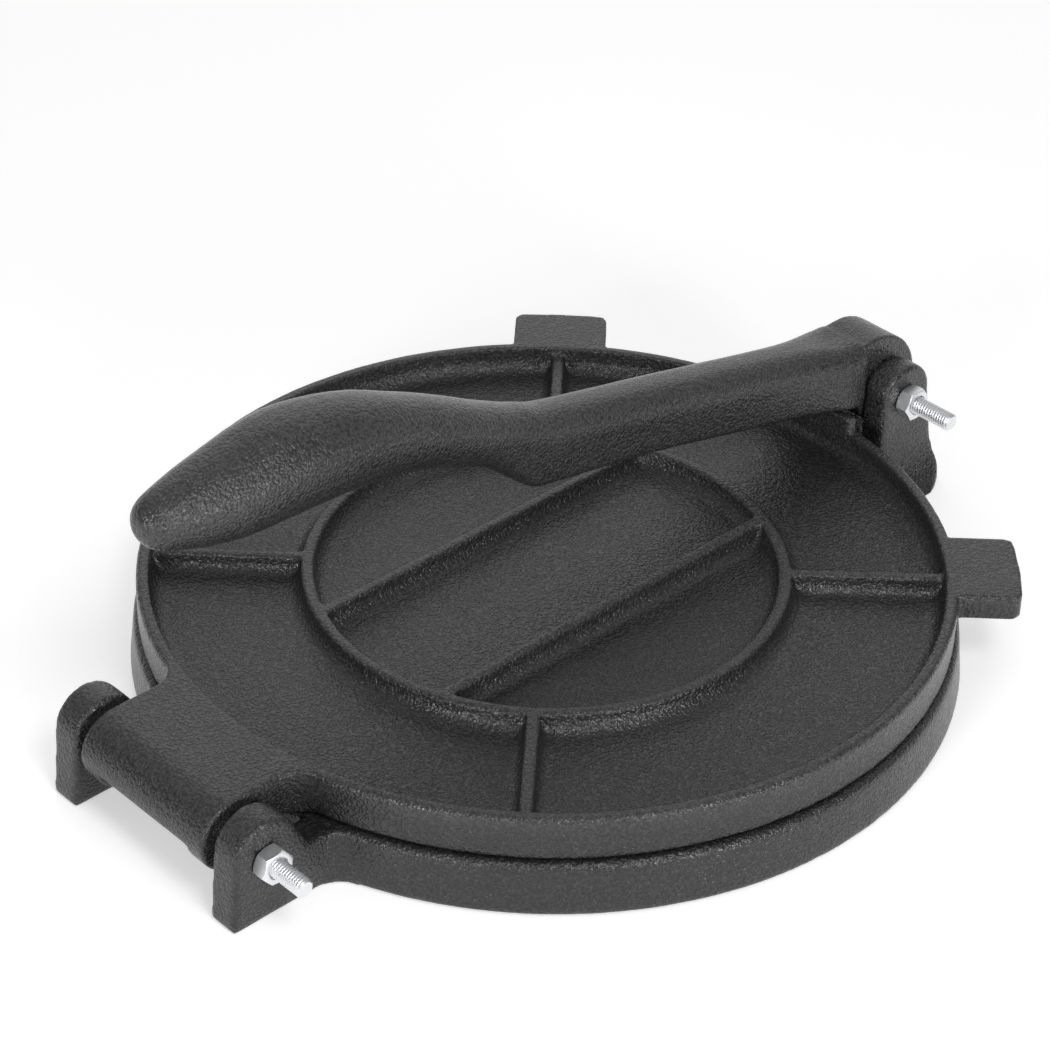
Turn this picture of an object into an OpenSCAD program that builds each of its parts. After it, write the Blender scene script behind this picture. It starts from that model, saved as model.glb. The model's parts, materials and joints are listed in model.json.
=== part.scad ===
// Tortilla press: two cast plates, hinged together at one side and closed by a lever at the other.
// The origin is on the table under the plates' centre. +X points to the lever's pivot, +Z is up.

/* [Plates] */
// Diameter of the upper plate
plate_d = 254; // [230:1:290]
// How far the base's disc reaches past the upper plate, at its top
base_lip = 1.6; // [0.4:0.2:8]
// How far the base's side leans out down to the table
base_draft = 1.6; // [0.4:0.2:4]
// Thickness of the base's disc
base_h = 17.6; // [12:0.2:24]
// Height of the upper plate's rim
rim_h = 14.6; // [11:0.2:20]
// Width of the rim along its top
rim_w = 4; // [3:0.5:8]
// Thickness of the upper plate's floor
floor_t = 5.8; // [5:0.1:9]
// Height of the raised working face on each plate
face_h = 0.25; // [0.2:0.05:1.5]
// Gap between the two working faces when the press is closed
face_gap = 0.3; // [0.3:0.1:2]
// Distance of each working face's edge from its plate's edge
face_inset = 5; // [3:0.5:12]
// Rounding of the discs' outer edges
edge_r = 1.5; // [0.5:0.25:3]

/* [Ribs of the upper plate] */
// Middle diameter of the round rib
ring_d = 148.2; // [110:0.2:170]
// Width of every rib at its top
rib_w = 4; // [3:0.2:6]
// How far the ribs' tops stay below the rim's top
rib_drop = 2.8; // [1:0.2:4]
// Distance of the two straight ribs from the centre line
bar_rib_y = 27.4; // [15:0.2:40]
// Angle of each of the four spokes from the X axis
spoke_angles = [44.5, 134.7, 223.8, 315]; // [0:0.1:360]
// Rounding at the foot of the straight ribs and the spokes
foot_r = 4; // [1:0.5:5]
// Rounding at the foot of the round rib
ring_foot_r = 5; // [1:0.5:5.5]
// Rounding at the foot of the rim's inner wall
rim_foot_r = 5; // [1:0.5:6]

/* [Tabs] */
// Width of a lifting tab
tab_w = 31.6; // [20:0.2:44]
// How far a tab reaches past the upper plate
tab_reach = 19; // [10:0.5:26]
// Thickness of a tab
tab_t = 8.4; // [6:0.2:11]
// Rounding of a tab's corners in plan
tab_corner_r = 4; // [1:0.5:8]
// Angle of each tab from the X axis
tab_angle = 44.4; // [35:0.1:60]

/* [Plate hinge] */
// Distance of the hinge pin from the upper plate's edge
hinge_reach = 19.8; // [18:0.2:30]
// Outer radius of the barrel about the hinge pin
barrel_r = 11.8; // [10:0.2:13]
// Thickness of the barrel's shell and of the tongue's top
barrel_t = 5.6; // [4:0.2:6]
// Width of the tongue and barrel
tongue_w = 57; // [40:1:70]
// Thickness of the barrel's two end cheeks
cheek_t = 8; // [6:0.5:12]
// Rounding in plan where the tongue meets the disc
tongue_root_r = 9; // [4:0.5:12]
// Gap between the barrel's end and each ear
hinge_side_gap = 3; // [0.5:0.5:4]
// Thickness of each hinge ear
hinge_ear_t = 11.2; // [8:0.2:14]
// Radius of the ears' round top
hinge_ear_r = 11.4; // [10:0.1:13]
// How far the ears' foot stands out past their round top
hinge_foot_out = 2; // [0:0.1:6]
// Rounding in plan where the ears meet the base's disc
ear_root_r = 12; // [6:0.5:16]

/* [Lever pivot] */
// Distance of the pivot from the upper plate's edge
pivot_reach = 19.2; // [19:0.2:30]
// Height of the pivot above the top of the rim
pivot_up = 4.5; // [3:0.5:8]
// Width of the lever's knuckle between the ears
knuckle_w = 18; // [14:0.5:20]
// Gap between the knuckle and each ear
knuckle_gap = 0.6; // [0.3:0.1:1.5]
// Thickness of each lever ear
lever_ear_t = 9.4; // [7:0.2:12]
// Radius of the ears' round top about the pivot
lever_ear_r = 11.9; // [10:0.1:12]
// How far the ears' foot stands out past their round top, away from the plates
lever_foot_out = 6.9; // [4:0.1:9]
// Half width of the foot pad where it meets the disc
pad_root_y = 38; // [34:1:44]
// Half width of the foot pad at its outer edge
pad_end_y = 20.4; // [19.2:0.2:24]
// Hollow rounding between each lever ear's outer face and the foot pad's lower edge
pad_sweep_r = 22; // [18:0.5:30]
// Height of the slot's floor between the ears
slot_z = 9.6; // [4:0.2:12]

/* [Lever] */
// Slope of the straight bar
bar_slope = 13.5; // [10:0.5:15]
// Distance of the pivot above the line of the bar's underside
bar_drop = 4.6; // [3:0.1:5.5]
// Height of the bar
bar_h = 21.3; // [16:0.1:24]
// Width of the bar
bar_w = 19.5; // [16:0.5:24]
// Distance from the pivot to the shoulder's end face
shoulder_u = 12.4; // [12.4:0.1:16]
// Height of the shoulder
shoulder_h = 23.6; // [22:0.2:28]
// Width of the shoulder
shoulder_w = 24; // [20:0.5:28]
// Distance from the pivot to the end of the straight bar
bar_l = 146; // [120:1:170]
// Diameter of the neck between the bar and the grip
neck_d = 22.4; // [18:0.2:26]
// Largest diameter of the grip
grip_d = 30.5; // [26:0.1:36]
// Diameter of the grip near its tip
tip_d = 18.6; // [12:0.2:22]
// Length of the knuckle's wall under the bore
knuckle_wall = 9; // [6:0.5:11]
// Radius of the knuckle's round crown
crown_r = 21.2; // [18:0.2:25]
// How far the crown reaches past the pivot
crown_out = 15.3; // [13:0.1:17]

/* [Bearing block] */
// Width of the block that the lever bears on
block_w = 31; // [24:1:40]
// Thickness of the block at its top
block_t = 4.2; // [3:0.2:7]
// Distance of the block's inner wall from the upper plate's edge
block_inset = 5.5; // [5:0.5:8]
// Gap between the block and the resting lever
block_gap = 0.3; // [0.3:0.1:1]

/* [Fasteners] */
// Diameter of both bolts
bolt_d = 6; // [5:0.5:7]
// Radial clearance of a bolt in a cast bore
bore_fit = 0.07; // [0.03:0.01:0.1]
// Radial clearance drawn between a bolt and its nut
nut_fit = 0.03; // [0.02:0.01:0.05]
// Width across the flats of the nuts and bolt heads
nut_af = 10; // [9:0.5:12]
// Height of a nut
nut_h = 5.2; // [4:0.2:6.4]
// Height of a bolt head
head_h = 4; // [3:0.2:5]
// Thread standing out of the hinge nut
hinge_bolt_out = 11.6; // [2:0.2:16]
// Thread standing out of the lever nut
lever_bolt_out = 14.5; // [2:0.2:20]

/* [Hidden] */
$fn = 96;

iron = "#3d3d3f";
zinc = "#c9ccd0";
eps = 0.01;

// Heights of the closed press
plate_z = base_h + 2 * face_h + face_gap;
floor_z = plate_z + floor_t;
rim_z = plate_z + rim_h;
rib_z = rim_z - rib_drop;

// Pin axes
hinge_x = -(plate_d / 2 + hinge_reach);
hinge_z = rim_z - barrel_r;
pivot_x = plate_d / 2 + pivot_reach;
pivot_z = rim_z + pivot_up;

// Ears, measured from the centre plane
hinge_ear_in = tongue_w / 2 + hinge_side_gap;
hinge_ear_out = hinge_ear_in + hinge_ear_t;
lever_ear_in = knuckle_w / 2 + knuckle_gap;
lever_ear_out = lever_ear_in + lever_ear_t;
ear_side_cut = 1;
shell_lip = 2;
root_sink = 0.3;
// Centre of the hinge ears' round top, from the pin, and where their inner side meets the disc's top
hinge_crown = [0.6, 1.2];
hinge_ear_back = 16;

base_r = plate_d / 2 + base_lip;
bore_r = bolt_d / 2 + bore_fit;

// Points of an arc about c, from angle a0 to angle a1
function arc(c, r, a0, a1, n = 12) =
    [for (i = [0:n]) let (a = a0 + (a1 - a0) * i / n) c + r * [cos(a), sin(a)]];

// Cubic curve through four neighbouring stations, at t from the second to the third
function blend(a, b, c, d, t) =
    b + 0.5 * t * (c - a + t * (2 * a - 5 * b + 4 * c - d + t * (3 * (b - c) + d - a)));
function smooth(s, i, t) =
    blend(s[max(i - 1, 0)], s[i], s[i + 1], s[min(i + 2, len(s) - 1)], t);

// Bore or pin along Y, between y0 and y1
module along_y(r, y0, y1) {
    translate([0, y1, 0]) rotate([90, 0, 0]) cylinder(r = r, h = y1 - y0);
}

// Outline drawn in X and Z, given depth along Y between y0 and y1
module slab_y(y0, y1) {
    translate([0, y1, 0]) rotate([90, 0, 0]) linear_extrude(y1 - y0) children();
}

module both_sides() {
    children();
    mirror([0, 1, 0]) children();
}

// Disc with rounded outer edges, wider below by the draft, and its working face raised on one side
module disc(r, h, draft, face_up) {
    rotate_extrude($fn = 180) polygon(concat(
        [[0, 0]],
        arc([r + draft - edge_r, edge_r], edge_r, -90, 0, 6),
        arc([r - edge_r, h - edge_r], edge_r, 0, 90, 6),
        [[0, h]]));
    face_r = plate_d / 2 - face_inset;
    translate([0, 0, face_up ? h - eps : -face_h])
        cylinder(r1 = face_up ? face_r : face_r - face_h, r2 = face_up ? face_r - face_h : face_r,
            h = face_h + eps, $fn = 180);
}

module hinge_ear_outline() {
    crown = [hinge_x, hinge_z] + hinge_crown;
    polygon(concat(
        [[crown.x - hinge_ear_r - hinge_foot_out, 0]],
        arc(crown, hinge_ear_r, 180, 20, 32),
        [[hinge_x + hinge_ear_back, base_h], [-base_r + face_inset, base_h], [-base_r + face_inset, 0]]));
}

// Concave corner in plan between a hinge ear's outer face and the disc's side, leaning like the disc's side
module ear_root() {
    foot = base_r + base_draft - root_sink;
    lean = base_draft / base_h;
    cy = hinge_ear_out - root_sink + ear_root_r;
    cx = -sqrt(pow(foot + ear_root_r, 2) - cy * cy);
    touch = [cx, cy] * (foot / (foot + ear_root_r));
    difference() {
        linear_extrude(base_h)
            polygon([[cx, hinge_ear_out - 2], [cx, hinge_ear_out], touch, [touch.x + 3, hinge_ear_out - 2]]);
        translate([cx, cy, -1])
            cylinder(r1 = ear_root_r - lean, r2 = ear_root_r + base_draft + lean, h = base_h + 2);
    }
}

module lever_ear_outline() {
    back_x = pivot_x - lever_ear_r + ear_side_cut;
    foot_x = pivot_x + lever_ear_r + lever_foot_out;
    back_a = acos((lever_ear_r - ear_side_cut) / lever_ear_r);
    polygon(concat(
        [[foot_x, 0]],
        arc([pivot_x, pivot_z], lever_ear_r, 0, 180 - back_a, 32),
        [[back_x, 0]]));
}

// Pad in one casting with the disc, on which the lever ears stand
module foot_pad() {
    reach = lever_ear_r + lever_foot_out;
    sweep = [lever_ear_out + pad_sweep_r, base_h];
    low_a = asin(base_h / pad_sweep_r);
    intersection() {
        linear_extrude(base_h) polygon([for (side = [-1, 1]) for (i = [0:5])
            let (k = side < 0 ? i : 5 - i,
                x = [base_r - 9, pivot_x - 8, pivot_x + 4, pivot_x + 9, pivot_x + 15, pivot_x + reach][k],
                y = pad_end_y + (pad_root_y - pad_end_y) * [1, 0.76, 0.59, 0.41, 0.2, 0][k])
            [x, side * y]]);
        slab_y(-pad_root_y, pad_root_y) polygon([
            [0, 0],
            [pivot_x + reach, 0],
            [pivot_x + reach - lever_foot_out * base_h / pivot_z, base_h],
            [0, base_h]]);
        rotate([90, 0, 90]) linear_extrude(pivot_x + reach) union() for (side = [-1, 1]) scale([side, 1])
            polygon(concat([[-1, 0], [-1, base_h]], arc(sweep, pad_sweep_r, 180, 180 + low_a, 9)));
    }
}

module base_plate() color(iron) {
    difference() {
        union() {
            disc(base_r, base_h, base_draft, true);
            both_sides() slab_y(hinge_ear_in, hinge_ear_out) hinge_ear_outline();
            both_sides() ear_root();
            both_sides() slab_y(lever_ear_in, lever_ear_out) lever_ear_outline();
            foot_pad();
        }
        translate([hinge_x, 0, hinge_z]) along_y(bore_r, -hinge_ear_out - 1, hinge_ear_out + 1);
        translate([pivot_x, 0, pivot_z]) along_y(bore_r, -lever_ear_out - 1, lever_ear_out + 1);
        // Slot that the knuckle swings through
        translate([base_r + base_draft + 2, -lever_ear_in, slot_z])
            cube([pivot_x, 2 * lever_ear_in, pivot_z]);
    }
}

// Section of a rib: straight above, rounded out at its foot with radius r, in n steps
module rib_section(foot, n) {
    h = rib_z - floor_z;
    half = rib_w / 2;
    r = min(foot, h - 0.5);
    polygon(concat(
        arc([half + r, r], r, 180, 270, n),
        [[half + r, -1], [-half - r, -1]],
        arc([-half - r, r], r, 270, 360, n),
        [[-half, h], [half, h]]));
}

// Straight rib along X from x0 to x1
module rib_x(x0, x1) {
    translate([x0, 0, floor_z]) rotate([90, 0, 90]) linear_extrude(x1 - x0) rib_section(foot_r, 6);
}

module ribs() {
    ring_r = ring_d / 2;
    inner_r = plate_d / 2 - rim_w;
    bar_end = sqrt(pow(ring_r, 2) - pow(bar_rib_y, 2));
    rotate_extrude($fn = 180) translate([ring_r, floor_z]) rib_section(ring_foot_r, 5);
    for (side = [-1, 1]) translate([0, side * bar_rib_y, 0]) rib_x(-bar_end, bar_end);
    for (a = spoke_angles)
        rotate([0, 0, a]) rib_x(ring_r, inner_r + 1);
}

// Space inside the rim, with a rounded foot
module dish() {
    r = plate_d / 2 - rim_w;
    top = rim_z + 1;
    rotate_extrude($fn = 180) polygon(concat(
        [[0, top], [0, floor_z]],
        arc([r - rim_foot_r, floor_z + rim_foot_r], rim_foot_r, -90, 0, 7),
        [[r, top]]));
}

module tab() {
    half = tab_w / 2;
    end = plate_d / 2 + tab_reach;
    translate([0, 0, rim_z - tab_t]) linear_extrude(tab_t) intersection() {
        circle(r = end, $fn = 180);
        polygon(concat(
            [[plate_d / 2 - rim_w, -half]],
            arc([end - tab_corner_r, tab_corner_r - half], tab_corner_r, -90, 0, 6),
            arc([end - tab_corner_r, half - tab_corner_r], tab_corner_r, 0, 90, 6),
            [[plate_d / 2 - rim_w, half]]));
    }
}

// Tongue from the disc to the hinge pin, its barrel open below between the two cheeks
module tongue() {
    half = tongue_w / 2;
    root_x = -(plate_d / 2 - rim_w);
    in_r = barrel_r - barrel_t;
    pin = [hinge_x, hinge_z];
    difference() {
        slab_y(-half, half) polygon(concat(
            arc(pin, barrel_r, 90, 360 - asin((hinge_z - plate_z) / barrel_r), 48),
            [[root_x, plate_z], [root_x, rim_z]]));
        // Hollow between the cheeks
        slab_y(cheek_t - half, half - cheek_t) polygon(concat(
            arc(pin, in_r, 90, 180, 16),
            [[hinge_x - in_r, 0], [root_x, 0], [root_x, rim_z - barrel_t]]));
        slab_y(cheek_t - half, half - cheek_t)
            translate([hinge_x - barrel_r - 1, 0]) square([barrel_r + 1, hinge_z - shell_lip]);
    }
    both_sides() tongue_root();
}

// Concave corner in plan between the tongue's side and the disc
module tongue_root() {
    half = tongue_w / 2;
    r = plate_d / 2 - root_sink;
    cy = half + tongue_root_r;
    cx = -sqrt(pow(r + tongue_root_r, 2) - cy * cy);
    touch = [cx, cy] * (r / (r + tongue_root_r));
    translate([0, 0, plate_z]) linear_extrude(rim_h) difference() {
        polygon([[cx, half - 1], [cx, half], touch, [touch.x + 3, half - 1]]);
        translate([cx, cy]) circle(r = tongue_root_r);
    }
}

// Height of the bar's underside above the pivot, at distance u from it
function bar_low(u) = u * tan(bar_slope) - bar_drop / cos(bar_slope);

// Block on the rim that the lever's underside presses on
module block() {
    in_x = plate_d / 2 - block_inset;
    out_x = in_x + block_t;
    drop = block_gap / cos(bar_slope);
    top_in = pivot_z + bar_low(pivot_x - in_x) - drop;
    top_out = pivot_z + bar_low(pivot_x - out_x) - drop;
    intersection() {
        slab_y(-block_w / 2, block_w / 2) polygon([
            [in_x, floor_z - 1], [in_x, top_in], [out_x, top_out],
            [out_x + 0.6, rim_z + 1.5], [plate_d / 2 - edge_r, rim_z - 1], [plate_d / 2 - edge_r, floor_z - 1]]);
        cylinder(r = plate_d / 2, h = 2 * pivot_z, $fn = 180);
    }
}

module upper_plate() color(iron) {
    difference() {
        union() {
            difference() {
                union() {
                    translate([0, 0, plate_z]) disc(plate_d / 2, rim_h, 0, false);
                    for (a = [-tab_angle, tab_angle]) rotate([0, 0, a]) tab();
                    tongue();
                }
                dish();
            }
            intersection() {
                ribs();
                translate([0, 0, plate_z]) cylinder(r = plate_d / 2 - rim_w / 2, h = rim_h, $fn = 180);
            }
            block();
        }
        translate([hinge_x, 0, hinge_z]) along_y(bore_r, -tongue_w, tongue_w);
    }
}

// Stations of the lever from its shoulder to its tip: distance from the pivot, middle height above the
// pivot, half height, half width, rounding of the upper edges and rounding of the lower edges
bar_mid = bar_h / 2;
shoulder_l = 8;
bar_start = 26;
end_low = bar_low(bar_l) - 1.9;
lever_stations = [
    [shoulder_u, bar_low(shoulder_u) + shoulder_h / 2, shoulder_h / 2, shoulder_w / 2, 7, 3],
    [shoulder_u + shoulder_l, bar_low(shoulder_u + shoulder_l) + shoulder_h / 2 - 0.7, shoulder_h / 2 - 0.7,
        shoulder_w / 2, 7, 2],
    [shoulder_u + bar_start, bar_low(shoulder_u + bar_start) + bar_mid + 0.4, bar_mid + 0.4, bar_w / 2, 8, 2],
    [shoulder_u + 62, bar_low(shoulder_u + 62) + bar_mid + 0.2, bar_mid + 0.2, bar_w / 2, 8.5, 2],
    [bar_l - 36, bar_low(bar_l - 36) + bar_mid, bar_mid, bar_w / 2, 8.5, 2],
    [bar_l, end_low + bar_mid + 0.8, bar_mid + 0.8, bar_w / 2, 9, 2],
    [bar_l + 13, end_low + 15, 12.8, bar_w / 2, 9.5, 3],
    [bar_l + 19, end_low + 18.2, 12.2, 10, 10, 5],
    [bar_l + 30, end_low + 25.1, 10.7, 10.6, 10.6, 9],
    [bar_l + 40, end_low + 30, neck_d / 2, neck_d / 2, neck_d / 2, neck_d / 2],
    [bar_l + 57, end_low + 37.5, neck_d / 2 + 0.8, neck_d / 2 + 0.8, 13, 13],
    [bar_l + 80, end_low + 44.9, grip_d / 2 - 1.1, grip_d / 2 - 1.1, 15, 15],
    [bar_l + 104, end_low + 47.8, grip_d / 2, grip_d / 2, 16, 16],
    [bar_l + 126, end_low + 46.6, tip_d / 2 + 4, tip_d / 2 + 4, 14, 14],
    [bar_l + 144, end_low + 47, tip_d / 2, tip_d / 2, 12, 12],
    [bar_l + 151, end_low + 47.3, tip_d * 0.34, tip_d * 0.34, 8, 8],
    [bar_l + 153.5, end_low + 47.5, tip_d * 0.15, tip_d * 0.15, 4, 4]];
stretch_steps = 4;
corner_steps = 7;

// Points around the lever at one station, seen along X
function lever_ring(s) = let (
        h = s[2], w = s[3],
        rt = min(s[4], 0.96 * w, 0.96 * h),
        rb = min(s[5], 0.96 * w, 0.96 * h),
        edge = concat(
            arc([w - rt, h - rt], rt, 0, 90, corner_steps),
            arc([rt - w, h - rt], rt, 90, 180, corner_steps),
            arc([rb - w, rb - h], rb, 180, 270, corner_steps),
            arc([w - rb, rb - h], rb, 270, 360, corner_steps)))
    [for (q = edge) [pivot_x - s[0], q.x, pivot_z + s[1] + q.y]];

module lever_body() {
    last = len(lever_stations) - 2;
    rings = concat(
        [for (i = [0:last]) for (k = [0:stretch_steps - 1])
            lever_ring(smooth(lever_stations, i, k / stretch_steps))],
        [lever_ring(lever_stations[last + 1])]);
    n = len(rings[0]);
    m = len(rings);
    points = [for (r = rings) for (q = r) q];
    sides = [for (j = [0:m - 2]) for (i = [0:n - 1]) let (a = j * n + i, b = j * n + (i + 1) % n)
        each [[a, b, b + n], [a, b + n, a + n]]];
    polyhedron(points, concat(
        [[for (i = [0:n - 1]) n - 1 - i]], sides, [[for (i = [0:n - 1]) (m - 1) * n + i]]));
}

// Round end of the lever, between the ears
module knuckle() {
    low_r = bolt_d / 2 + knuckle_wall;
    root_u = shoulder_u + 6;
    translate([pivot_x, 0, pivot_z]) slab_y(-knuckle_w / 2, knuckle_w / 2) polygon(concat(
        arc([crown_out - crown_r, -0.5], crown_r, 100, 0, 24),
        arc([crown_out - low_r, -0.5], low_r, 0, -90, 12),
        arc([0, -0.5], low_r, -90, -180, 12),
        [[-root_u, bar_low(root_u)], [-root_u, bar_low(root_u) + bar_h]]));
}

module lever() color(iron) {
    difference() {
        union() {
            lever_body();
            knuckle();
        }
        translate([pivot_x, 0, pivot_z]) along_y(bore_r, -shoulder_w, shoulder_w);
    }
}

// Hexagonal body along Y from y0 to y1, with its corners turned off at the outer face
module hex(y0, y1) {
    h = y1 - y0;
    r = nut_af / sqrt(3);
    translate([0, y1, 0]) rotate([90, 0, 0]) intersection() {
        cylinder(r = r, h = h, $fn = 6);
        rotate_extrude() polygon([
            [0, 0], [nut_af / 2 - 0.2, 0], [r + 0.1, 0.6], [r + 0.1, h - 0.6], [nut_af / 2 - 0.2, h], [0, h]]);
    }
}

// Bolt along Y, its head on the far side and its end past the nut on the near side
module bolt(x, z, ear_y, out) color(zinc) {
    r = bolt_d / 2;
    end = ear_y + nut_h + out;
    translate([x, 0, z]) {
        hex(ear_y, ear_y + head_h);
        translate([0, ear_y + eps, 0]) rotate([90, 0, 0]) rotate_extrude() polygon([
            [0, 0], [r, 0], [r, ear_y + end - 0.7], [r - 0.7, ear_y + end], [0, ear_y + end]]);
    }
}

module nut(x, z, ear_y) color(zinc) {
    translate([x, 0, z]) difference() {
        hex(-ear_y - nut_h, -ear_y);
        along_y(bolt_d / 2 + nut_fit, -ear_y - 2 * nut_h, nut_h - ear_y);
    }
}

module hinge_bolt() bolt(hinge_x, hinge_z, hinge_ear_out, hinge_bolt_out);
module hinge_nut() nut(hinge_x, hinge_z, hinge_ear_out);
module lever_bolt() bolt(pivot_x, pivot_z, lever_ear_out, lever_bolt_out);
module lever_nut() nut(pivot_x, pivot_z, lever_ear_out);

base_plate();
upper_plate();
lever();
hinge_bolt();
hinge_nut();
lever_bolt();
lever_nut();
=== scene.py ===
"""A cast-iron tortilla press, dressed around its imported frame.

The three castings get soft edges and a slow unevenness, the bolts get threads, and a pale stage holds it all.
"""

import json
import math

import bpy
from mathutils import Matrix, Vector


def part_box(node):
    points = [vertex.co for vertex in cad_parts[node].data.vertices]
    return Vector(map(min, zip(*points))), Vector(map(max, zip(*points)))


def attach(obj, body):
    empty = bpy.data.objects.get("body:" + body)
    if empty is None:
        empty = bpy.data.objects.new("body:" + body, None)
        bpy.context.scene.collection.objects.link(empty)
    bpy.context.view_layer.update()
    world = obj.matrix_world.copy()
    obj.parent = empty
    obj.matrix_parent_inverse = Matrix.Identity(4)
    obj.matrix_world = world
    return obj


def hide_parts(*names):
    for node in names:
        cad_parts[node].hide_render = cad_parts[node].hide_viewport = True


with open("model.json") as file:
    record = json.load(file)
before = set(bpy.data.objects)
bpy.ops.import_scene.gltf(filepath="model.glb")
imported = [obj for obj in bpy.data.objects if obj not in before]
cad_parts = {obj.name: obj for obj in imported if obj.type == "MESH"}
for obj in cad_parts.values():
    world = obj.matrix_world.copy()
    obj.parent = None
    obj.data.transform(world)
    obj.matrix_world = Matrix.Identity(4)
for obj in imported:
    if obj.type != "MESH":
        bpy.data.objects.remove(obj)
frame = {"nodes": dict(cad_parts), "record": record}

bl_info = {
    "name": "Tortilla press",
    "version": (1, 0, 0),
    "blender": (4, 5, 0),
    "location": "View3D > Sidebar > Press",
    "description": "Builds the castings, bolts, nuts and stage of a cast-iron tortilla press",
    "category": "Add Mesh",
}

MM = 0.001
SAME_POINT = 0.001 * MM  # points closer than this are one point
OVERLAP = 1 * MM  # how far a cutter or a joined solid reaches past the face that it meets
ROUND_STEPS = 64  # sides of a turned solid
THREAD_STEPS = 32  # sides of the thread
THREAD_FORM = ((0, 0), (0.16, 0), (0.50, 1), (0.66, 1), (1, 0))  # shares of its pitch and of its depth
SPARE_TURNS = 2  # turns of thread past each end, which are trimmed off
THREAD_PAST_NUT = 2 * MM
END_CHAMFER = 1.3  # size of the chamfer on a bolt's end, in thread depths
HEX_FACE = 0.94  # width of a hexagon's round end face, as a share of the width across its flats
HEX_SLOPE = 0.62  # how steeply a hexagon's corners are turned off
HEX_CUTTER = 1.1  # radius of the solid that turns them off, as a share of the radius to the corners
CUT_LEFTOVER = 0.005 * MM  # points closer than this after cutting are one point
SOFT_EDGE = math.radians(32)  # edges sharper than this stay sharp
FLOOR_WIDTH = 12  # metres
SENSOR_WIDTH = 36  # millimetres
NEAREST_SEEN, FARTHEST_SEEN = 0.01, 50  # metres from the camera

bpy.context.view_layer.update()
PIVOTS = {joint["name"]: Vector(joint["pos_m"]) for joint in frame["record"]["behaviour"]["joints"]}


# Sizes and colours that a user would change


class CastingSizes(bpy.types.PropertyGroup):
    """How finely each casting is rebuilt and how soft its edges are."""

    plate_grid: bpy.props.FloatProperty(
        name="Plate grid", description="Spacing of the points over the two plates",
        default=0.8 * MM, unit="LENGTH", subtype="DISTANCE", precision=5)
    lever_grid: bpy.props.FloatProperty(
        name="Lever grid", description="Spacing of the points over the lever",
        default=0.62 * MM, unit="LENGTH", subtype="DISTANCE", precision=5)
    base_softening: bpy.props.IntProperty(
        name="Base softening", description="Smoothing passes that round the base plate's edges and ears",
        default=20)
    plate_softening: bpy.props.IntProperty(
        name="Plate softening", description="Smoothing passes that round the upper plate's edges and fillets",
        default=2)
    lever_softening: bpy.props.IntProperty(
        name="Lever softening", description="Smoothing passes that round the lever's edges", default=6)
    swell: bpy.props.FloatProperty(
        name="Swell", description="Height of the slow unevenness that a sand mould leaves",
        default=0.16 * MM, unit="LENGTH", subtype="DISTANCE", precision=5)
    swell_size: bpy.props.FloatProperty(
        name="Swell size", description="Width of one hill of that unevenness",
        default=11 * MM, unit="LENGTH", subtype="DISTANCE", precision=5)
    most_triangles: bpy.props.IntProperty(
        name="Most triangles", description="The most triangles that one casting keeps", default=185000)


class FastenerSizes(bpy.types.PropertyGroup):
    """The two bolts and their nuts."""

    bolt: bpy.props.FloatProperty(
        name="Bolt", description="Bolt diameter over the thread",
        default=6 * MM, unit="LENGTH", subtype="DISTANCE", precision=5)
    pitch: bpy.props.FloatProperty(
        name="Pitch", description="Distance from one thread crest to the next",
        default=1 * MM, unit="LENGTH", subtype="DISTANCE", precision=5)
    thread_depth: bpy.props.FloatProperty(
        name="Thread depth", description="Height of the thread's crest over its root",
        default=0.5 * MM, unit="LENGTH", subtype="DISTANCE", precision=5)
    across_flats: bpy.props.FloatProperty(
        name="Across flats", description="Width of nut and bolt head between opposite flats",
        default=10 * MM, unit="LENGTH", subtype="DISTANCE", precision=5)
    head: bpy.props.FloatProperty(
        name="Head", description="Height of the bolt heads",
        default=4 * MM, unit="LENGTH", subtype="DISTANCE", precision=5)
    hinge_turn: bpy.props.FloatProperty(
        name="Hinge nut turn", description="How far the hinge's nut is turned about its bolt",
        default=math.radians(10), unit="ROTATION", subtype="ANGLE")
    lever_turn: bpy.props.FloatProperty(
        name="Lever nut turn", description="How far the lever's nut is turned about its bolt",
        default=math.radians(3), unit="ROTATION", subtype="ANGLE")


class Finishes(bpy.types.PropertyGroup):
    """Colours and textures of the metals."""

    iron: bpy.props.FloatVectorProperty(
        name="Iron", description="Colour of the seasoned casting's skin",
        default=(0.015, 0.015, 0.0152), size=3, subtype="COLOR", min=0, max=1)
    # Paler end of the iron's colour: painted highlight on the pebble crests and painted light on the faces
    # above the dish floor, as well as random paler clouds of tone.
    iron_pale_and_lit: bpy.props.FloatVectorProperty(
        name="Pale and painted-light iron", description="Colour of the casting where painted light pales its pebble crests and raised faces, and in its pale clouds",
        default=(0.040, 0.040, 0.041), size=3, subtype="COLOR", min=0, max=1)
    pebble: bpy.props.FloatProperty(
        name="Pebble", description="Width of one pebble of the cast skin",
        default=0.95 * MM, unit="LENGTH", subtype="DISTANCE", precision=5)
    zinc: bpy.props.FloatVectorProperty(
        name="Zinc", description="Colour of the plated bolts and nuts",
        default=(0.86, 0.87, 0.89), size=3, subtype="COLOR", min=0, max=1)
    zinc_dull: bpy.props.FloatVectorProperty(
        name="Dull zinc", description="Colour of the plating where it is cloudy",
        default=(0.72, 0.73, 0.75), size=3, subtype="COLOR", min=0, max=1)
    floor: bpy.props.FloatVectorProperty(
        name="Floor", description="Colour of the studio floor",
        default=(0.78, 0.78, 0.78), size=3, subtype="COLOR", min=0, max=1)
    floor_glow: bpy.props.FloatProperty(
        name="Floor glow", description="How much paler the floor is in the picture than its own colour",
        default=0.42)


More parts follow.
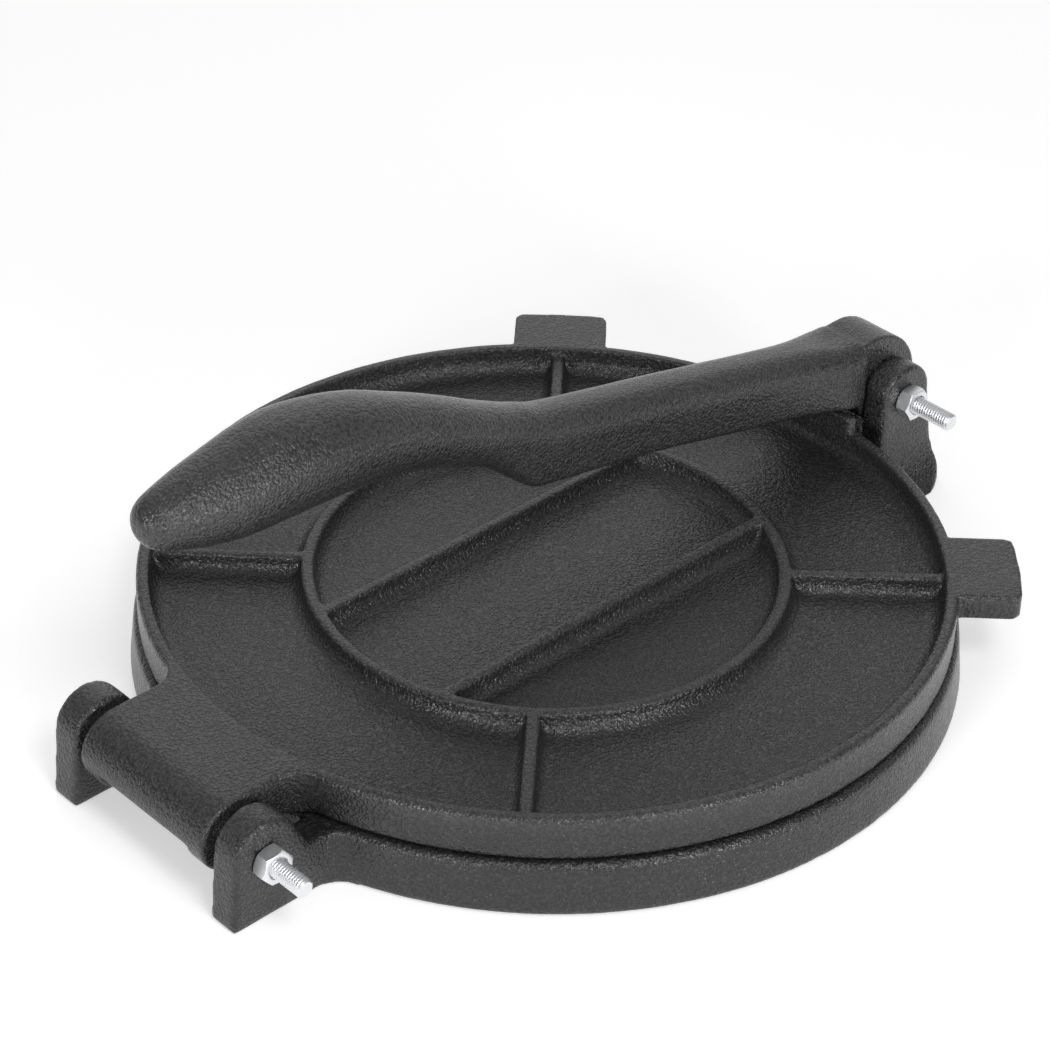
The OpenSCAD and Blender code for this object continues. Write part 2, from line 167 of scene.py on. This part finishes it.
class StageSizes(bpy.types.PropertyGroup):
    """Camera and lamps."""

    camera: bpy.props.FloatVectorProperty(
        name="Camera", description="Where the camera stands",
        default=(-0.5449, -0.5575, 0.5842), size=3, subtype="TRANSLATION", unit="LENGTH")
    look: bpy.props.FloatVectorProperty(
        name="Look", description="Direction in which the camera looks",
        default=(0.5479, 0.6143, -0.5677), size=3, subtype="DIRECTION")
    lens: bpy.props.FloatProperty(
        name="Lens", description="Focal length in millimetres", default=105.5)
    shift_x: bpy.props.FloatProperty(
        name="Shift X", description="Sideways shift of the picture", default=0.0892)
    shift_y: bpy.props.FloatProperty(
        name="Shift Y", description="Upward shift of the picture", default=-0.00695)
    top_light: bpy.props.FloatProperty(
        name="Top light", description="Power of the soft lamp overhead", default=1.2, unit="POWER")
    front_light: bpy.props.FloatProperty(
        name="Front light", description="Power of the low lamp in front", default=6.5, unit="POWER")
    high_light: bpy.props.FloatProperty(
        name="High light", description="Power of the small lamp above the front", default=4.2, unit="POWER")
    side_light: bpy.props.FloatProperty(
        name="Side light", description="Power of the low lamp at the camera's left", default=7, unit="POWER")
    back_light: bpy.props.FloatProperty(
        name="Back light", description="Power of the wide soft lamp behind the press",
        default=4.9, unit="POWER")
    back_place: bpy.props.FloatVectorProperty(
        name="Back place", description="Where the wide soft lamp behind the press stands",
        default=(0.95, 1.05, 0.90), size=3, subtype="TRANSLATION", unit="LENGTH")
    back_air: bpy.props.FloatProperty(
        name="Back air", description="Strength of the even light from behind the press", default=0.55)
    front_air: bpy.props.FloatProperty(
        name="Front air", description="Strength of the even light from the camera's side", default=0.17)


# Shader nodes


class Signal:
    """A number that varies over a surface. Arithmetic on it adds Math nodes."""

    def __init__(self, recipe, socket):
        self.recipe, self.socket = recipe, socket

    def _math(self, operation, *values):
        return self.recipe.node("ShaderNodeMath", {"operation": operation}, dict(enumerate(values)))["Value"]

    def __add__(self, other):
        return self._math("ADD", self, other)

    def __sub__(self, other):
        return self._math("SUBTRACT", self, other)

    def __rsub__(self, other):
        return self._math("SUBTRACT", other, self)

    def __mul__(self, other):
        return self._math("MULTIPLY", self, other)

    __radd__, __rmul__ = __add__, __mul__


class Made:
    """A node that has been added. Indexing it by an output's name gives that output's signal."""

    def __init__(self, recipe, node):
        self.recipe, self.made = recipe, node

    def __getitem__(self, output):
        return Signal(self.recipe, self.made.outputs[output])


class Recipe:
    """The node tree of a material or of the world, built up one node at a time."""

    def __init__(self, owner):
        owner.use_nodes = True
        self.tree = owner.node_tree
        self.tree.nodes.clear()

    def node(self, kind, settings=None, inputs=None):
        """Adds a node with these settings, and these values or signals at its inputs."""
        made = self.tree.nodes.new(kind)
        for name, value in (settings or {}).items():
            setattr(made, name, value)
        for name, value in (inputs or {}).items():
            if isinstance(value, Signal):
                self.tree.links.new(value.socket, made.inputs[name])
            else:
                made.inputs[name].default_value = value
        return Made(self, made)

    def noise(self, place, size, detail, roughness=0.5, distortion=0.0):
        """A cloudy pattern whose hills are about this size."""
        return self.node("ShaderNodeTexNoise", inputs={
            "Vector": place, "Scale": 1 / size, "Detail": detail, "Roughness": roughness,
            "Distortion": distortion})["Fac"]

    def soft_step(self, value, low, high, start=0, end=1):
        """From start where value is low to end where it is high, with soft ends."""
        return self.node("ShaderNodeMapRange", {"interpolation_type": "SMOOTHSTEP"}, {
            "Value": value, "From Min": low, "From Max": high, "To Min": start, "To Max": end})["Result"]

    def bumped(self, height, strength, depth):
        """The surface's normal, tilted by this height."""
        return self.node("ShaderNodeBump", inputs={
            "Strength": strength, "Distance": depth, "Height": height})["Normal"]

    def blend(self, share, first, second):
        """The colour first, turned into second where share is 1."""
        made = self.node("ShaderNodeMix", {"data_type": "RGBA"}).made
        sockets = {socket.identifier: socket for socket in made.inputs}
        self.tree.links.new(share.socket, sockets["Factor_Float"])
        sockets["A_Color"].default_value = (*first, 1)
        sockets["B_Color"].default_value = (*second, 1)
        return Signal(self, next(socket for socket in made.outputs if socket.identifier == "Result_Color"))

    def finish(self, surface, output="ShaderNodeOutputMaterial"):
        self.node(output, inputs={"Surface": surface})


def cast_iron(finishes):
    """Seasoned cast iron: a pebbled skin, half glossy, with random paler clouds of tone, painted shade in the
    pebbles' hollows and on lower faces, and painted light on the pebbles' crests and the raised faces.
    """
    recipe = Recipe(bpy.data.materials.new("seasoned_cast_iron"))
    place = recipe.node("ShaderNodeTexCoord")["Object"]
    height = recipe.node("ShaderNodeSeparateXYZ", inputs={"Vector": place})["Z"]
    # Painted shade by height: faces below the dish floor get the darker colour, faces above the rim top the
    # paler one.
    dish_floor, rim_top = 25 * MM, 32 * MM
    raised = recipe.soft_step(height, dish_floor, rim_top)

    pebbles = recipe.noise(place, finishes.pebble, detail=0.8, distortion=0.4)
    crests = recipe.soft_step(pebbles, low=0.27, high=0.73)
    grit_size, cloud_size = 0.34 * finishes.pebble, 24 * MM
    grit = recipe.noise(place, grit_size, detail=1.0)
    clouds = recipe.noise(place, cloud_size, detail=3)
    crest_share, grit_share = 0.75, 0.25
    relief = crests * crest_share + grit * grit_share

    # Share of the paler colour: the pebbles' crests paler and their hollows darker as painted light and
    # shade, random clouds of tone, and the raised faces paler as painted light.
    relief_painted_shade, cloud_wear, height_painted_shade, pale_offset = 1.35, 0.50, 0.50, 0.86
    tone_and_painted_shade = relief * relief_painted_shade + clouds * cloud_wear + raised * height_painted_shade - pale_offset
    dullness, cloud_dullness, crest_polish = 0.24, 0.08, 0.05
    surface = recipe.node("ShaderNodeBsdfPrincipled", inputs={
        "Base Color": recipe.blend(tone_and_painted_shade, finishes.iron, finishes.iron_pale_and_lit),
        "Roughness": dullness + clouds * cloud_dullness - crests * crest_polish,
        "Metallic": 0.0, "IOR": 1.5,
        "Normal": recipe.bumped(relief, strength=1.0, depth=0.26 * MM)})["BSDF"]
    recipe.finish(surface)


def zinc_plate(finishes):
    """Bright zinc on the bolts and nuts, a little cloudy."""
    recipe = Recipe(bpy.data.materials.new("bright_zinc"))
    place = recipe.node("ShaderNodeTexCoord")["Object"]
    cloudy = recipe.noise(place, size=2.2 * MM, detail=3.0, roughness=0.6)
    fine = recipe.noise(place, size=0.22 * MM, detail=2.0)
    dullness, cloud_dullness = 0.34, 0.14
    surface = recipe.node("ShaderNodeBsdfPrincipled", inputs={
        "Base Color": recipe.blend(cloudy, finishes.zinc, finishes.zinc_dull),
        "Roughness": dullness + cloudy * cloud_dullness, "Metallic": 1.0,
        "Normal": recipe.bumped(fine, strength=0.25, depth=0.02 * MM)})["BSDF"]
    recipe.finish(surface)


def studio_floor(finishes):
    """A pale floor that keeps the object's shadow."""
    recipe = Recipe(bpy.data.materials.new("studio_floor"))
    skin = {"Base Color": (*finishes.floor, 1), "Roughness": 0.9, "Specular IOR Level": 0.0}
    plain = recipe.node("ShaderNodeBsdfPrincipled", inputs=skin)["BSDF"]
    pale = recipe.node("ShaderNodeBsdfPrincipled", inputs={
        **skin, "Emission Color": (1, 1, 1, 1), "Emission Strength": finishes.floor_glow})["BSDF"]
    rays = recipe.node("ShaderNodeLightPath")
    seen = rays["Is Camera Ray"] + rays["Is Glossy Ray"] + rays["Is Transmission Ray"]
    recipe.finish(recipe.node("ShaderNodeMixShader", inputs={0: seen, 1: plain, 2: pale})["Shader"])


def studio_air(stage):
    """Soft light from all around, strongest from behind the press and weakest from the camera's side."""
    world = bpy.data.worlds.new("studio_air")
    bpy.context.scene.world = world
    recipe = Recipe(world)
    towards = recipe.node("ShaderNodeTexCoord")["Generated"]
    behind = recipe.node("ShaderNodeVectorMath", {"operation": "DOT_PRODUCT"}, {
        0: towards, 1: Vector(stage.back_place).normalized()})["Value"]
    strength = recipe.soft_step(behind, low=-0.1, high=0.95, start=stage.front_air, end=stage.back_air)
    air = recipe.node("ShaderNodeBackground", inputs={
        "Color": (1, 1, 1, 1), "Strength": strength})["Background"]
    recipe.finish(air, "ShaderNodeOutputWorld")


# Mesh helpers


def work_on(piece):
    """Selects one object alone and makes it the active one."""
    if bpy.context.object and bpy.context.object.mode != "OBJECT":
        bpy.ops.object.mode_set(mode="OBJECT")
    bpy.ops.object.select_all(action="DESELECT")
    if piece:
        piece.select_set(True)
    bpy.context.view_layer.objects.active = piece


def applied(piece, kind, **settings):
    """Adds a modifier with these settings and applies it."""
    work_on(piece)
    modifier = piece.modifiers.new(kind.lower(), kind)
    for name, value in settings.items():
        setattr(modifier, name, value)
    bpy.ops.object.modifier_apply(modifier=modifier.name)


def settled(piece, name):
    """Names a piece and puts its place into its mesh."""
    work_on(piece)
    piece.name = piece.data.name = name
    bpy.ops.object.transform_apply(location=True, rotation=True, scale=True)
    return piece


def welded(piece, nearest=SAME_POINT, close=False):
    """Merges points closer than nearest, and if close is set fills the holes and turns all faces outwards."""
    work_on(piece)
    bpy.ops.object.mode_set(mode="EDIT")
    bpy.ops.mesh.select_all(action="SELECT")
    bpy.ops.mesh.remove_doubles(threshold=nearest)
    if close:
        bpy.ops.mesh.fill_holes(sides=0)
        bpy.ops.mesh.select_all(action="SELECT")
        bpy.ops.mesh.normals_make_consistent(inside=False)
    bpy.ops.object.mode_set(mode="OBJECT")


def handed_over(piece, node, body, material):
    """Gives a finished piece its material and its body, and hides the CAD node that it stands in for."""
    piece.data.materials.clear()
    piece.data.materials.append(material)
    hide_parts(node)
    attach(piece, body)


def combined(piece, other, operation):
    """Joins, cuts or trims a piece with another closed mesh, which is used up."""
    applied(piece, "BOOLEAN", operation=operation, object=other, solver="MANIFOLD")
    bpy.data.objects.remove(other)
    return piece


def profile_line(points):
    """A line through points (radius, height), drawn by extruding one vertex from point to point."""
    work_on(None)
    bpy.ops.mesh.primitive_plane_add(size=MM, location=(0, 0, 0))
    bpy.ops.object.mode_set(mode="EDIT")
    bpy.ops.mesh.select_all(action="SELECT")
    bpy.ops.mesh.merge(type="CENTER")
    places = [Vector((radius, 0, height)) for radius, height in points]
    bpy.ops.transform.translate(value=places[0])
    for before, after in zip(places, places[1:]):
        bpy.ops.mesh.extrude_vertices_move(TRANSFORM_OT_translate={"value": after - before})
    bpy.ops.object.mode_set(mode="OBJECT")
    return bpy.context.object


def laid_along_y(piece, name, centre):
    """Turns a piece made upright so that its height runs towards +Y, on the pin's centre line."""
    piece.rotation_euler = (-math.pi / 2, 0, 0)
    piece.location = (centre.x, 0, centre.z)
    return settled(piece, name)


def spun(line, steps, rise=0, turns=1):
    """Spins a profile line about Z, climbing by rise in each turn, into a closed solid."""
    applied(line, "SCREW", axis="Z", angle=math.tau, steps=steps, render_steps=steps, screw_offset=rise,
            iterations=turns, use_merge_vertices=True, merge_threshold=SAME_POINT)
    welded(line, close=True)
    return line


def turned(name, points, centre):
    """A solid turned on a lathe from points (radius, height), the first and last on the centre line."""
    return laid_along_y(spun(profile_line(points), ROUND_STEPS), name, centre)


def hexagon(name, across, low, high, centre, turn=0, both_ends=True):
    """A hexagonal bar along Y whose corners are turned off at both ends, or at the high end alone."""
    corner = across / math.sqrt(3)
    flat_up = math.radians(30)
    work_on(None)
    bpy.ops.mesh.primitive_cylinder_add(
        vertices=6, radius=corner, depth=high - low,
        location=(centre.x, (low + high) / 2, centre.z),
        rotation=(math.pi / 2, flat_up - turn, 0))
    piece = settled(bpy.context.object, name)
    face, wide = HEX_FACE * across / 2, HEX_CUTTER * corner
    slope = HEX_SLOPE * (wide - face)
    foot = [(0, low), (face, low), (wide, low + slope)]
    if not both_ends:
        foot = [(0, low - OVERLAP), (wide, low - OVERLAP)]
    cutter = turned("cutter", [*foot, (wide, high - slope), (face, high), (0, high)], centre)
    return combined(piece, cutter, "INTERSECT")


def thread(name, fasteners, low, high, centre):
    """A threaded rod from low to high along Y, its free end at low with the first crests turned off."""
    pitch, depth = fasteners.pitch, fasteners.thread_depth
    crest = fasteners.bolt / 2
    root = crest - depth
    start = low - SPARE_TURNS * pitch
    turns = math.ceil((high - start) / pitch) + SPARE_TURNS
    line = profile_line([(root + depth * rise, start + pitch * along) for along, rise in THREAD_FORM])
    piece = laid_along_y(spun(line, THREAD_STEPS, pitch, turns), name, centre)
    chamfer = END_CHAMFER * depth
    clear = crest + OVERLAP
    rod = turned("rod", [(0, low), (crest - chamfer, low), (crest, low + chamfer),
                         (clear, low + chamfer + OVERLAP), (clear, high), (0, high)], centre)
    return combined(piece, rod, "INTERSECT")


def bolt(name, fasteners, node, nut_node, centre):
    """A hex bolt along Y, its head at the +Y side and its thread running out through the nut."""
    low, high = (corner.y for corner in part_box(node))
    under_head = high - fasteners.head
    thread_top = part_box(nut_node)[1].y + THREAD_PAST_NUT
    depth, radius = fasteners.thread_depth, fasteners.bolt / 2
    head = hexagon(name, fasteners.across_flats, under_head, high, centre, both_ends=False)
    inset, lap = 0.1 * MM, 0.2 * MM
    shank = turned("shank", [(0, thread_top), (radius - depth - inset, thread_top),
                             (radius, thread_top + depth + inset),
                             (radius, under_head + OVERLAP), (0, under_head + OVERLAP)], centre)
    shank = combined(shank, thread("thread", fasteners, low, thread_top + lap, centre), "UNION")
    return combined(head, shank, "UNION")


def nut(name, fasteners, node, centre, turn):
    """A hex nut on the Y axis, both its faces turned and its bore countersunk."""
    low, high = (corner.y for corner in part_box(node))
    piece = hexagon(name, fasteners.across_flats, low, high, centre, turn)
    play, sink = 0.03 * MM, 0.55 * MM
    bore = fasteners.bolt / 2 + play
    mouth = bore + sink + OVERLAP
    hole = turned("hole", [(0, low - OVERLAP), (mouth, low - OVERLAP), (bore, low + sink),
                           (bore, high - sink), (mouth, high + OVERLAP), (0, high + OVERLAP)], centre)
    return combined(piece, hole, "DIFFERENCE")


def crisp(piece):
    """Welds points that cutting left too close together, and shades smooth but for the sharper edges."""
    welded(piece, CUT_LEFTOVER)
    bpy.ops.object.shade_smooth_by_angle(angle=SOFT_EDGE)


def casting(node, grid, passes, castings):
    """A soft-edged copy of a CAD casting: rebuilt on an even grid, smoothed and slightly uneven."""
    source = frame["nodes"][node]
    piece = bpy.data.objects.new(f"{node}_casting", source.data.copy())
    bpy.context.scene.collection.objects.link(piece)
    welded(piece)
    applied(piece, "REMESH", mode="VOXEL", voxel_size=grid, adaptivity=0)
    applied(piece, "SMOOTH", factor=0.5, iterations=passes)
    swell = bpy.data.textures.new(f"{node}_swell", "CLOUDS")
    swell.noise_scale, swell.noise_depth = castings.swell_size, 1
    applied(piece, "DISPLACE", texture=swell, texture_coords="LOCAL", strength=castings.swell, mid_level=0.5)
    triangles = sum(len(face.vertices) - 2 for face in piece.data.polygons)
    if triangles > castings.most_triangles:
        applied(piece, "DECIMATE", decimate_type="COLLAPSE", ratio=castings.most_triangles / triangles)
    work_on(piece)
    bpy.ops.object.shade_smooth()
    return piece


# Operators


class PRESS_OT_metals(bpy.types.Operator):
    """Mix the two metals"""

    bl_idname = "press.metals"
    bl_label = "Metals"

    def execute(self, context):
        cast_iron(context.scene.press_finishes)
        zinc_plate(context.scene.press_finishes)
        return {"FINISHED"}


class PRESS_OT_base_plate(bpy.types.Operator):
    """Build the base plate with its four ears"""

    bl_idname = "press.base_plate"
    bl_label = "Base plate"

    def execute(self, context):
        castings = context.scene.press_castings
        piece = casting("base_plate", castings.plate_grid, castings.base_softening, castings)
        piece.location.z = castings.swell / 2
        settled(piece, piece.name)
        handed_over(piece, "base_plate", "base", bpy.data.materials["seasoned_cast_iron"])
        return {"FINISHED"}


class PRESS_OT_upper_plate(bpy.types.Operator):
    """Build the ribbed upper plate with its hinge barrel and bearing block"""

    bl_idname = "press.upper_plate"
    bl_label = "Upper plate"

    def execute(self, context):
        castings = context.scene.press_castings
        piece = casting("upper_plate", castings.plate_grid, castings.plate_softening, castings)
        handed_over(piece, "upper_plate", "upper", bpy.data.materials["seasoned_cast_iron"])
        return {"FINISHED"}


class PRESS_OT_lever(bpy.types.Operator):
    """Build the lever with its knuckle and grip"""

    bl_idname = "press.lever"
    bl_label = "Lever"

    def execute(self, context):
        castings = context.scene.press_castings
        piece = casting("lever", castings.lever_grid, castings.lever_softening, castings)
        handed_over(piece, "lever", "handle", bpy.data.materials["seasoned_cast_iron"])
        return {"FINISHED"}


class PRESS_OT_fasteners(bpy.types.Operator):
    """Build the two bolts and their nuts"""

    bl_idname = "press.fasteners"
    bl_label = "Bolts and nuts"

    def execute(self, context):
        fasteners = context.scene.press_fasteners
        zinc = bpy.data.materials["bright_zinc"]
        for place, joint, turn in (("hinge", "plate_hinge", fasteners.hinge_turn),
                                   ("lever", "lever_pivot", fasteners.lever_turn)):
            centre = PIVOTS[joint]
            screw = bolt(f"{place}_hex_bolt", fasteners, f"{place}_bolt", f"{place}_nut", centre)
            crisp(screw)
            handed_over(screw, f"{place}_bolt", "base", zinc)
            holder = nut(f"{place}_hex_nut", fasteners, f"{place}_nut", centre, turn)
            crisp(holder)
            handed_over(holder, f"{place}_nut", "base", zinc)
        return {"FINISHED"}


class PRESS_OT_stage(bpy.types.Operator):
    """Set the floor, lamps, air and camera"""

    bl_idname = "press.stage"
    bl_label = "Stage"

    def execute(self, context):
        stage, finishes = context.scene.press_stage, context.scene.press_finishes
        work_on(None)
        bpy.ops.mesh.primitive_plane_add(size=FLOOR_WIDTH, location=(0, 0, 0))
        floor = settled(context.object, "floor")
        studio_floor(finishes)
        floor.data.materials.append(bpy.data.materials["studio_floor"])
        studio_air(stage)
        for name, place, width, power in (
                ("top_lamp", (-0.25, -0.30, 1.35), 1.0, stage.top_light),
                ("front_lamp", (-0.13, -1.27, 0.34), 0.30, stage.front_light),
                ("high_lamp", (-0.28, -0.72, 0.98), 0.30, stage.high_light),
                ("back_lamp", stage.back_place, 1.7, stage.back_light),
                ("side_lamp", (-1.22, -0.40, 0.42), 0.35, stage.side_light)):
            bpy.ops.object.light_add(type="AREA", location=place)
            lamp = context.object
            lamp.name, lamp.data.size, lamp.data.energy = name, width, power
            lamp.rotation_euler = (-Vector(place)).to_track_quat("-Z", "Y").to_euler()
        bpy.ops.object.camera_add(location=stage.camera)
        camera = context.object
        camera.rotation_euler = Vector(stage.look).to_track_quat("-Z", "Y").to_euler()
        camera.data.sensor_width, camera.data.lens = SENSOR_WIDTH, stage.lens
        camera.data.shift_x, camera.data.shift_y = stage.shift_x, stage.shift_y
        camera.data.clip_start, camera.data.clip_end = NEAREST_SEEN, FARTHEST_SEEN
        context.scene.camera = camera
        context.scene.view_settings.view_transform = "Standard"
        return {"FINISHED"}


OPERATORS = (PRESS_OT_metals, PRESS_OT_base_plate, PRESS_OT_upper_plate, PRESS_OT_lever,
             PRESS_OT_fasteners, PRESS_OT_stage)
GROUPS = {"press_castings": CastingSizes, "press_fasteners": FastenerSizes,
          "press_finishes": Finishes, "press_stage": StageSizes}


class PRESS_PT_panel(bpy.types.Panel):
    """The steps of the press, in their order"""

    bl_idname = "PRESS_PT_panel"
    bl_label = "Tortilla press"
    bl_space_type = "VIEW_3D"
    bl_region_type = "UI"
    bl_category = "Press"

    def draw(self, context):
        for step in OPERATORS:
            self.layout.operator(step.bl_idname)
        for name, group in GROUPS.items():
            box = self.layout.box()
            for prop in group.__annotations__:
                box.prop(getattr(context.scene, name), prop)


def register():
    for made in (*GROUPS.values(), *OPERATORS, PRESS_PT_panel):
        bpy.utils.register_class(made)
    for name, group in GROUPS.items():
        setattr(bpy.types.Scene, name, bpy.props.PointerProperty(type=group))


def unregister():
    for name in GROUPS:
        delattr(bpy.types.Scene, name)
    for made in reversed((*GROUPS.values(), *OPERATORS, PRESS_PT_panel)):
        bpy.utils.unregister_class(made)


def main():
    register()
    for step in OPERATORS:
        getattr(bpy.ops.press, step.bl_idname.split(".")[1])()


if __name__ == "__main__":
    main()
